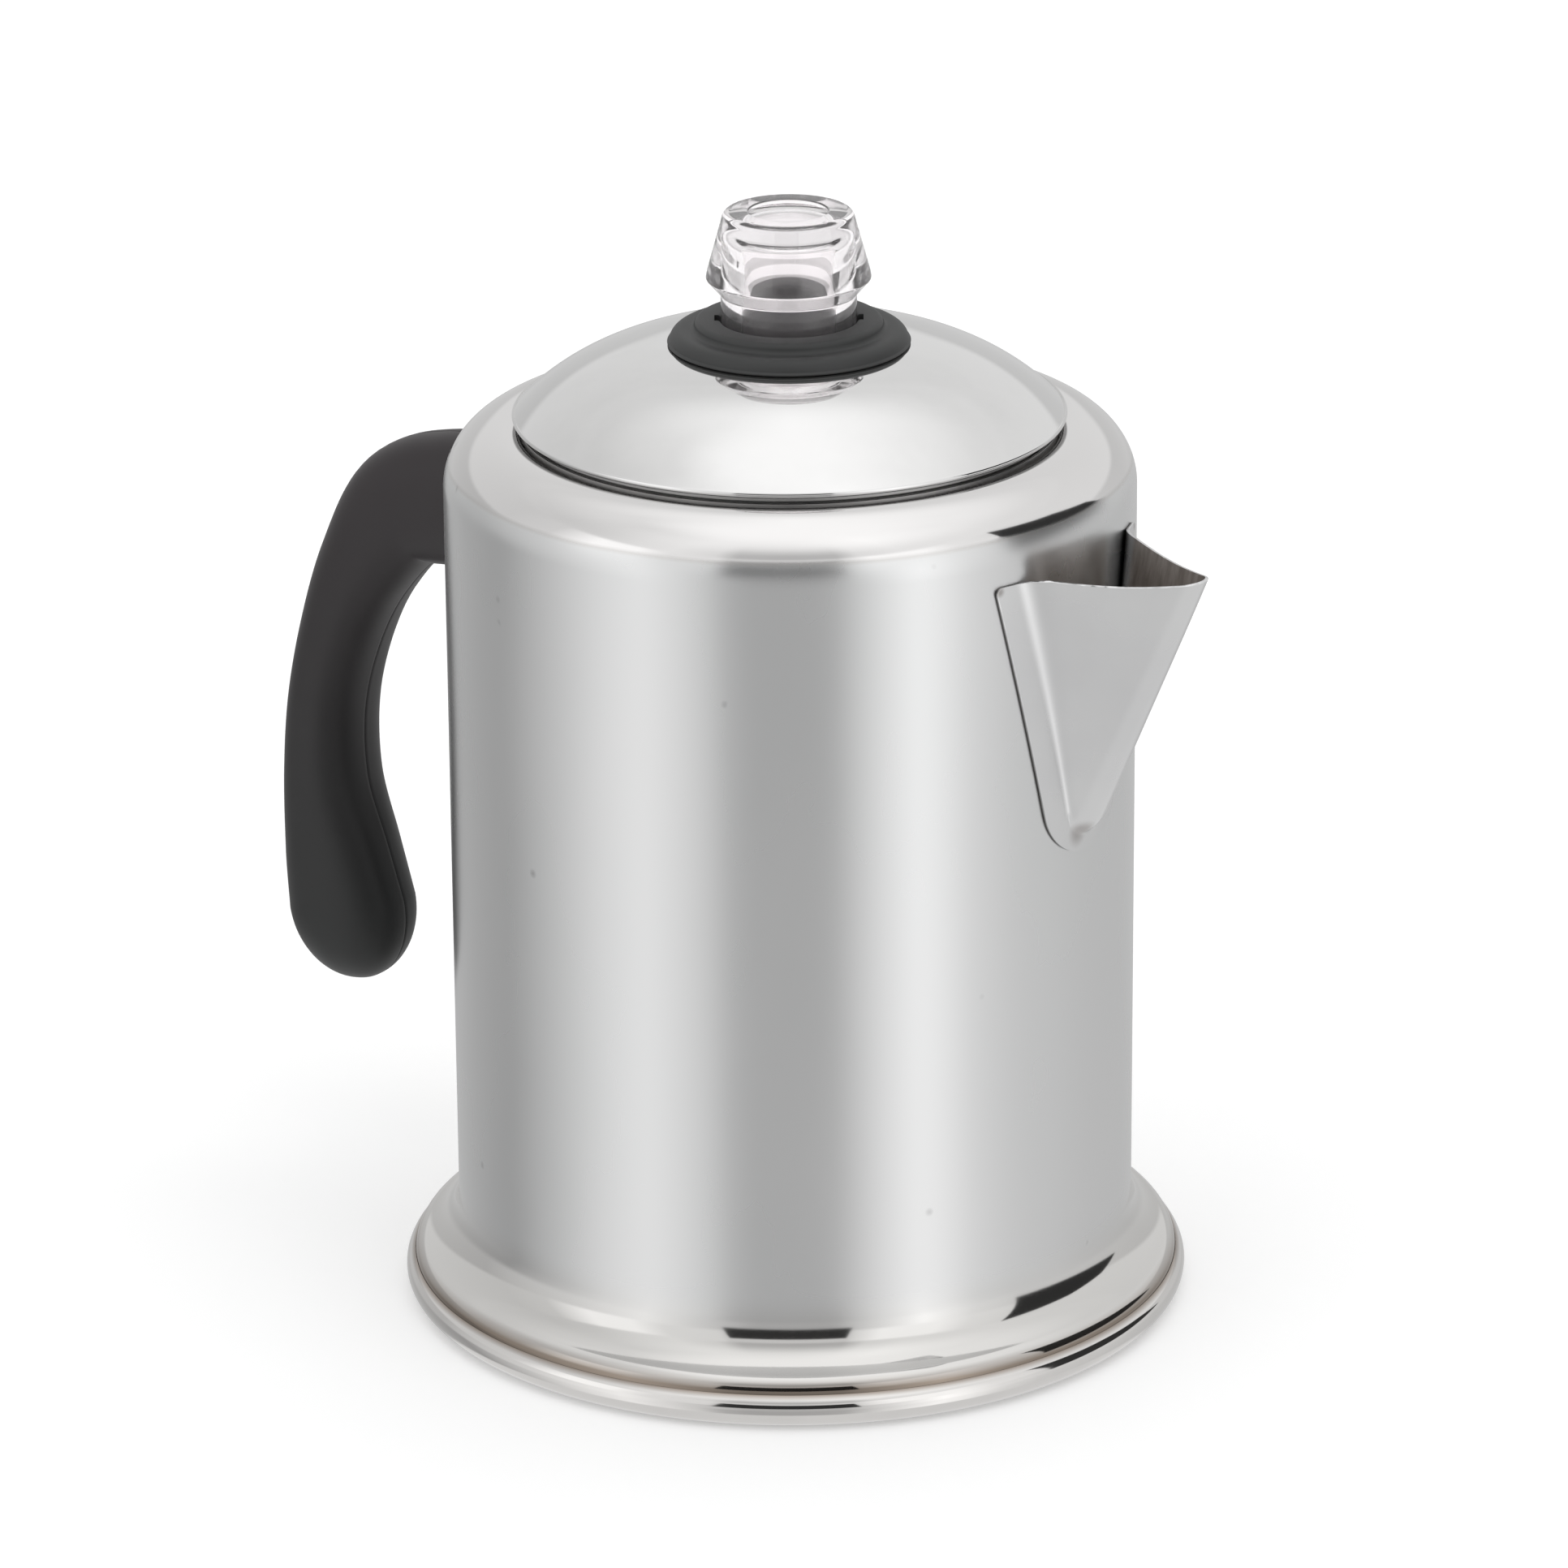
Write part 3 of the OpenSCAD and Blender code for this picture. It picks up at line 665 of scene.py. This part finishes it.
def marks(s, scale, amount):
    """A sparse mask of small specks, 0 on most of the surface."""
    cells = s.add("ShaderNodeTexVoronoi", {"Vector": s.place, "Scale": scale, "Randomness": 1.0})
    dot = s.band(cells.outputs["Distance"], 0.02, 0.1, 1.0, 0.0)
    chosen = s.band(s.noise(scale * 0.7, 0.0), 1 - amount - 0.02, 1 - amount)
    return s.both(dot, chosen)


def pot_steel():
    """Brushed wall that turns into mirror polish on the shoulder and the foot."""
    s = Shader("pot_steel", Metallic=1.0, Anisotropic=0.78, Anisotropic_Rotation=0.25)
    s.link(s.add("ShaderNodeTangent", direction_type="RADIAL", axis="Z").outputs["Tangent"], "Tangent")
    z = s.height()
    wobble = s.band(s.noise(18.0, 2.0), 0.0, 1.0, -0.0006, 0.0006)
    z = s.math("ADD", z, wobble)
    top = s.along(z, POLISH_Z)
    foot = s.along(z, FOOT_POLISH_Z, 1.0, 0.0, True)
    polish = s.math("MAXIMUM", top, foot)
    cloud = s.noise(26.0, 4.0, s.stretched((1.0, 1.0, 0.45)), 0.55)
    satin = s.band(cloud, 0.3, 0.7, 0.25, 0.3)
    mirror = s.band(s.noise(40.0, 4.0), 0.35, 0.7, 0.045, 0.08)
    rough = s.add("ShaderNodeMix", {0: polish, 2: satin, 3: mirror})
    s.link(rough.outputs[0], "Roughness")
    # A brownish line where the satin wall turns into polish, partly painted shade in the crease
    seam_shade = s.both(s.along(z, SEAM_SHADE_Z[:2]), s.along(z, SEAM_SHADE_Z[1:], 1.0, 0.0))
    tint = s.blend(s.band(cloud, 0.3, 0.75), (0.665, 0.67, 0.67, 1), (0.695, 0.695, 0.695, 1))
    tint = s.blend(top, tint, (0.71, 0.70, 0.695, 1))
    tint = s.blend(foot, tint, (0.62, 0.61, 0.595, 1))
    # Brown grime with painted shade in the groove above the flare's crest
    tint = s.blend(s.along(z, FOOT_GROOVE_SHADE_Z, 0.85, 0.0), tint, GROOVE_GRIME_AND_SHADE)
    # Brownish line with painted crease shade at the change of finish
    tint = s.blend(s.both(seam_shade, 0.2), tint, (0.42, 0.36, 0.31, 1))
    tint = s.blend(s.both(marks(s, 95.0, 0.32), 0.5), tint, grey(0.3))
    s.link(tint, "Base Color")
    soft = s.noise(9.0, 1.0, s.stretched((1.0, 1.0, 0.35)))
    s.link(s.bump(soft, 0.12, 0.0012), "Normal")
    return s.material


def bright_steel(name, tint, low, high, painted_shade_z, painted_shade_tint):
    """Mirror-polished sheet with smudges, wiping marks and specks, darkened between two heights by painted
    shade (with brown grime on the ring).
    """
    s = Shader(name, Metallic=1.0)
    smudge = s.noise(34.0, 5.0, None, 0.6)
    s.link(s.band(smudge, 0.4, 0.75, low, high), "Roughness")
    dull = tuple(v * 0.93 for v in tint) + (1,)
    colour = s.blend(s.band(smudge, 0.45, 0.8), (*tint, 1), dull)
    colour = s.blend(s.both(marks(s, 120.0, 0.3), 0.6), colour, grey(0.28))
    # Painted shade between two heights: under the lid's rolled rim, and in the groove at the ring's top
    colour = s.blend(s.along(s.height(), painted_shade_z, 0.9, 0.0), colour, painted_shade_tint)
    s.link(colour, "Base Color")
    wipe = s.noise(1.0, 1.0, s.stretched((900.0, 60.0, 300.0)))
    normal = s.bump(s.noise(14.0, 1.0), 0.08, 0.001)
    s.link(s.bump(wipe, 0.02, 0.00003, normal), "Normal")
    return s.material


def spout_steel():
    """Satin outside, painted shadow along the flange's edges, a browner brushed inside and heat marks at the
    welds.
    """
    s = Shader("spout_steel", Metallic=1.0)
    where = s.add("ShaderNodeSeparateXYZ", {"Vector": s.add("ShaderNodeNewGeometry").outputs["Normal"]})
    out = s.add("ShaderNodeSeparateXYZ", {"Vector": s.place}).outputs["X"]
    reach = s.vector("LENGTH", s.stretched((1.0, 1.0, 0.0)))
    level = s.band(s.math("ABSOLUTE", where.outputs["Z"]), 0.5, 0.8, 1.0, 0.0)
    inside = s.both(s.band(where.outputs["X"], -0.2, -0.05, 1.0, 0.0), level)
    inside = s.both(inside, s.along(out, SPOUT_INSIDE_X))
    # Painted shadow: the flange's sideways edges near the wall are darkened like a contact shadow
    sideways = s.band(where.outputs["X"], 0.5, 0.75, 1.0, 0.0)
    rim = s.both(sideways, s.along(reach, SPOUT_EDGE_SHADOW_REACH, 1.0, 0.0))
    streaks = s.noise(1.0, 4.0, s.stretched((420.0, 420.0, 14.0)), 0.6)
    cloud = s.noise(30.0, 4.0)
    outer = s.blend(s.band(cloud, 0.35, 0.7), (0.69, 0.69, 0.69, 1), (0.64, 0.64, 0.645, 1))
    inner = s.blend(s.band(streaks, 0.35, 0.65), (0.36, 0.32, 0.295, 1), (0.60, 0.56, 0.53, 1))
    colour = s.blend(inside, outer, inner)
    for place, size in HEAT_MARKS:
        gap = s.vector("DISTANCE", s.place, [v * MM for v in place])
        near = s.along(gap, (size * 0.2, size), 0.75, 0.0, True)
        burn = s.both(near, s.band(cloud, 0.3, 0.6, 0.4, 1.0))
        colour = s.blend(burn, colour, (0.16, 0.13, 0.11, 1))
    # Painted contact shadow along the flange's edges
    colour = s.blend(rim, colour, (0.12, 0.115, 0.11, 1))
    s.link(colour, "Base Color")
    rough = s.add("ShaderNodeMix", {0: inside, 2: s.band(cloud, 0.4, 0.75, 0.26, 0.31), 3: 0.34})
    s.link(rough.outputs[0], "Roughness")
    normal = s.bump(s.noise(16.0, 1.0), 0.12, 0.001)
    s.link(s.bump(streaks, 0.06, 0.00004, normal), "Normal")
    return s.material


def plain_steel(name, tint, rough, grain):
    """Inner sheet metal with a drawn grain along one way."""
    s = Shader(name, Metallic=1.0)
    streaks = s.noise(1.0, 3.0, s.stretched(grain))
    s.link(s.band(streaks, 0.3, 0.7, rough * 0.8, rough * 1.25), "Roughness")
    dark = tuple(v * 0.88 for v in tint) + (1,)
    s.link(s.blend(s.band(s.noise(60.0, 4.0), 0.4, 0.7), (*tint, 1), dark), "Base Color")
    s.link(s.bump(streaks, 0.08, 0.00005), "Normal")
    return s.material


def zinc():
    """Plated fastener steel with a cloudy passivated skin."""
    s = Shader("zinc_plate", Metallic=1.0)
    cloud = s.noise(420.0, 4.0)
    tint = s.blend(s.band(cloud, 0.35, 0.65), (0.62, 0.63, 0.66, 1), (0.74, 0.72, 0.64, 1))
    s.link(tint, "Base Color")
    s.link(s.band(cloud, 0.3, 0.7, 0.2, 0.34), "Roughness")
    s.link(s.bump(cloud, 0.1, 0.00004), "Normal")
    return s.material


def phenolic(name, upper, lower, z_low, z_high, rough):
    """Moulded black plastic: fine grain, faint cloudy sheen, and painted shade: lighter at the top, darker
    towards the bottom.
    """
    s = Shader(name, Specular_IOR_Level=0.38)
    cloud = s.noise(45.0, 4.0)
    # Painted shade: lighter colour at the top and darker at the bottom, as the light falls
    painted_shade_tone = s.blend(s.along(s.height(), (z_low, z_high)), (*lower, 1), (*upper, 1))
    lighter = s.blend(s.band(cloud, 0.35, 0.75, 0.0, 0.18), painted_shade_tone, grey(0.045))
    s.link(lighter, "Base Color")
    s.link(s.band(cloud, 0.3, 0.7, rough, rough + 0.08), "Roughness")
    grain = s.noise(2600.0, 2.0)
    normal = s.bump(s.noise(120.0, 2.0), 0.06, 0.0002)
    s.link(s.bump(grain, 0.16, 0.00003, normal), "Normal")
    return s.material


def clear_plastic():
    """Clear moulded plastic with a faintly uneven surface and a few wiping marks."""
    s = Shader("clear_plastic", Transmission_Weight=0.96, IOR=1.46, Base_Color=(0.99, 0.965, 0.975, 1))
    smudge = s.noise(160.0, 4.0)
    s.link(s.band(smudge, 0.35, 0.8, 0.02, 0.09), "Roughness")
    s.link(s.bump(s.noise(70.0, 1.0), 0.10, 0.00025), "Normal")
    return s.material


def dress(piece, material):
    """Gives a piece this material in every slot."""
    if not piece.data.materials:
        piece.data.materials.append(material)
    for slot in piece.material_slots:
        slot.link = "OBJECT"
        slot.material = material


# ---------------------------------------------------------------- studio

# The light tent by direction, in layers of elevation: [azimuth from the camera in degrees, brightness]
TENT_FLOOR = 0.85
TENT_LOW = [
    (-180, 0.6), (-150, 0.55), (-128, 0.48), (-110, 0.42), (-97, 0.58), (-83, 0.75), (-66, 1.01), (-50, 1.19),
    (-36, 1.0), (-28, 0.84), (-21, 0.6), (-13, 0.53), (8, 0.53), (14, 0.57), (20, 0.78), (29, 1.05),
    (42, 1.36), (50, 1.25), (63, 0.96), (76, 0.85), (96, 0.8), (115, 0.72), (146, 0.63), (180, 0.61),
]
TENT_HORIZON = [
    (-180, 0.7), (-120, 0.6), (-80, 0.9), (-50, 1.25), (-28, 0.85), (-13, 0.6), (12, 0.6), (29, 1.1),
    (42, 1.5), (60, 1.05), (76, 0.9), (146, 0.7), (180, 0.68),
]
TENT_BAND = [
    (-180, 0.87), (-110, 0.78), (-90, 0.85), (-72, 1.35), (-56, 1.35), (-44, 1.05), (-25, 1.0), (-23, 0.85),
    (17, 0.85), (19, 1.0), (28, 1.35), (48, 1.35), (60, 1.1), (75, 1.0), (110, 0.95), (180, 0.87),
]
TENT_HIGH = [
    (-180, 0.9), (-100, 0.79), (-80, 0.86), (-60, 1.02), (-45, 1.08), (-28, 0.96), (-20, 0.65), (0, 0.62),
    (17, 0.65), (25, 1.0), (40, 1.1), (75, 1.05), (100, 0.98), (180, 0.9),
]
TENT_TOP = [
    (-180, 1.32), (-130, 1.02), (-90, 0.97), (-40, 1.2), (0, 1.22), (40, 1.38), (90, 1.2), (130, 1.2),
    (180, 1.32),
]
TENT_ZENITH = 1.32
ZENITH_START = 62
ZENITH_END = 86
# Each layer fades in between two elevations, in degrees
TENT_LAYERS = [
    (-38, -32, TENT_LOW), (-12, -4, TENT_HORIZON), (10, 14, TENT_BAND), (34, 38, TENT_HIGH),
    (40, 68, TENT_TOP),
]

# Two dark gaps in the tent: [azimuth, elevation of the lower edge] and [azimuth, that of the upper edge]
GAP_BRIGHTNESS = 0.04
GAP_EDGE = 0.01
GAP_LOW = [(-180, 6), (50, 6), (60, 2), (180, 2)]
GAP_HIGH = [
    (-180, 0), (-24, 0), (-23, 28), (17, 28), (18, 0), (76, 0), (77, 36), (90, 31), (104, 25), (118, 15),
    (128, 0), (180, 0),
]


def brightness_ramp(world, azimuth, stops):
    """A ramp over azimuth, whose colours are half of the brightness so that they stay under 1."""
    node = world.add("ShaderNodeValToRGB", {"Fac": azimuth})
    ramp = node.color_ramp
    while len(ramp.elements) > 1:
        ramp.elements.remove(ramp.elements[-1])
    for i, (angle, value) in enumerate(stops):
        place = (angle + 180) / 360
        element = ramp.elements[0] if i == 0 else ramp.elements.new(place)
        element.position = place
        element.color = grey(value / 2)
    return node.outputs["Color"]


def studio_world():
    """A procedural light tent: bright sides and top, two dark gaps, and plain white to the camera."""
    world = bpy.data.worlds.new("light_tent")
    bpy.context.scene.world = world
    world.use_nodes = True
    world.node_tree.nodes.clear()
    w = Nodes(world.node_tree)

    # Turned so that the azimuth is 0 towards the camera's side and grows to its right
    direction = w.add("ShaderNodeTexCoord").outputs["Generated"]
    turned_by = {"Vector": direction, "Rotation": (0, 0, radians(90 - VIEW_AZIMUTH))}
    local = w.add("ShaderNodeVectorRotate", turned_by, rotation_type="EULER_XYZ")
    parts = w.add("ShaderNodeSeparateXYZ", {"Vector": local.outputs["Vector"]})
    azimuth = w.band(w.math("ARCTAN2", parts.outputs["Y"], parts.outputs["X"]), -pi, pi)
    up = parts.outputs["Z"]
    colour = grey(TENT_FLOOR / 2)
    for start, end, stops in TENT_LAYERS:
        ramp = brightness_ramp(w, azimuth, stops)
        colour = w.blend(w.band(up, sin(radians(start)), sin(radians(end)), smoothly=True), colour, ramp)
    zenith = w.band(up, sin(radians(ZENITH_START)), sin(radians(ZENITH_END)), smoothly=True)
    colour = w.blend(zenith, colour, grey(TENT_ZENITH / 2))
    edges = []
    for limits, sign in ((GAP_LOW, 1), (GAP_HIGH, -1)):
        limit = brightness_ramp(w, azimuth, [(angle, 2 * sin(radians(height))) for angle, height in limits])
        above = w.math("SUBTRACT", up, limit)
        edges.append(w.band(above, -GAP_EDGE * sign, GAP_EDGE * sign, smoothly=True))
    colour = w.blend(w.math("MULTIPLY", *edges), colour, grey(GAP_BRIGHTNESS / 2))
    tent = w.add("ShaderNodeBackground", {"Color": colour, "Strength": 2.0})
    paper = w.add("ShaderNodeBackground", {"Color": grey(1.0), "Strength": 1.0})
    seen = w.add("ShaderNodeLightPath").outputs["Is Camera Ray"]
    surface = w.add("ShaderNodeMixShader", {0: seen, 1: tent.outputs[0], 2: paper.outputs[0]})
    w.add("ShaderNodeOutputWorld", {"Surface": surface.outputs[0]})


def studio_floor():
    """A wide pale floor that fills the view and that the metal doesn't mirror."""
    bm = bmesh.new()
    bmesh.ops.create_circle(bm, cap_ends=True, segments=96, radius=9.0)
    floor = new_piece("floor", bm)
    floor.location.z = -0.0002
    glow = {"Emission_Color": grey(1.0), "Emission_Strength": 0.16}
    s = Shader("floor_paper", Roughness=0.9, Specular_IOR_Level=0.1, **glow)
    s.link(s.blend(s.noise(3.0, 2.0), grey(0.93), grey(0.95)), "Base Color")
    dress(floor, s.material)
    floor.visible_glossy = False


def studio_camera():
    data = bpy.data.cameras.new("camera")
    data.lens = LENS
    data.sensor_width = SENSOR
    data.clip_end = 50
    camera = bpy.data.objects.new("camera", data)
    bpy.context.scene.collection.objects.link(camera)
    azimuth, elevation = radians(VIEW_AZIMUTH), radians(VIEW_ELEVATION)
    way = Vector((cos(elevation) * sin(azimuth), -cos(elevation) * cos(azimuth), sin(elevation)))
    camera.location = VIEW_TARGET + VIEW_DISTANCE * way
    roll = Matrix.Rotation(radians(VIEW_ROLL), 3, "Z")
    camera.rotation_euler = (way.to_track_quat("Z", "Y").to_matrix() @ roll).to_euler()
    bpy.context.scene.camera = camera


# ---------------------------------------------------------------- assembly


def place(piece, body, slot, material, *nodes):
    """Puts a piece on its body in place of its CAD nodes."""
    dress(piece, material)
    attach(piece, body)
    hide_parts(*nodes)


def main():
    studio_camera()
    studio_world()
    studio_floor()
    bpy.context.scene.view_settings.view_transform = "Standard"
    bpy.context.scene.cycles.max_bounces = 24
    bpy.context.scene.cycles.transmission_bounces = 16
    bpy.context.scene.cycles.glossy_bounces = 8

    # The underside of the lid's rolled rim gets painted shade
    lid_steel = bright_steel("lid_steel", (0.72, 0.717, 0.713), 0.035, 0.075, LID_RIM_SHADE_Z, grey(0.3))
    # The ring's top, against the pot, gets brown grime with painted groove shade
    ring_steel = bright_steel("ring_steel", (0.68, 0.665, 0.65), 0.05, 0.1, RING_GROOVE_SHADE_Z, GROOVE_GRIME_AND_SHADE)
    # The handle's colour is lighter at the top and darker below as painted shade
    grip_black = phenolic("grip_phenolic", (0.020, 0.015, 0.017), (0.009, 0.010, 0.010), 50, 150, 0.42)
    collar_black = phenolic("collar_phenolic", (0.035, 0.036, 0.036), (0.035, 0.036, 0.036), 180, 200, 0.5)
    place(body_shell(), "pot", "pot_steel", pot_steel(), "body_shell")
    place(base_pan(), "pot", "bright_steel", ring_steel, "base_pan")
    place(spout(), "pot", "bright_steel", spout_steel(), "spout")
    place(handle_grip(), "pot", "black_phenolic", grip_black, "handle_grip")
    place(lid_dome(), "lid", "bright_steel", lid_steel, "lid_dome")
    place(knob_collar(), "lid", "black_phenolic", collar_black, "knob_collar")
    place(knob(), "knob", "clear_plastic", clear_plastic(), "knob")

    drawn = plain_steel("drawn_steel", (0.68, 0.68, 0.69), 0.22, (9.0, 9.0, 900.0))
    spun = plain_steel("spun_aluminium", (0.76, 0.765, 0.775), 0.3, (14.0, 14.0, 700.0))
    # Darker than the other inner steel, as painted shade in the gap under the lid's rim
    lid_gap_shade_steel = plain_steel("lid_inner_steel", (0.5, 0.495, 0.49), 0.45, (9.0, 9.0, 90.0))
    inner_pieces = [
        (drawn, ("handle_bracket", "pump_tube", "basket_stop", "valve_cage")),
        (lid_gap_shade_steel, ("lid_skirt",)),
        (spun, ("pump_bell", "basket_shell", "basket_sleeve", "spreader_plate")),
        (zinc(), ("bracket_nut", "handle_screw", "screw_washer", "collar_ring", "valve_disc")),
    ]
    for material, names in inner_pieces:
        for name in names:
            dress(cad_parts[name], material)


main()
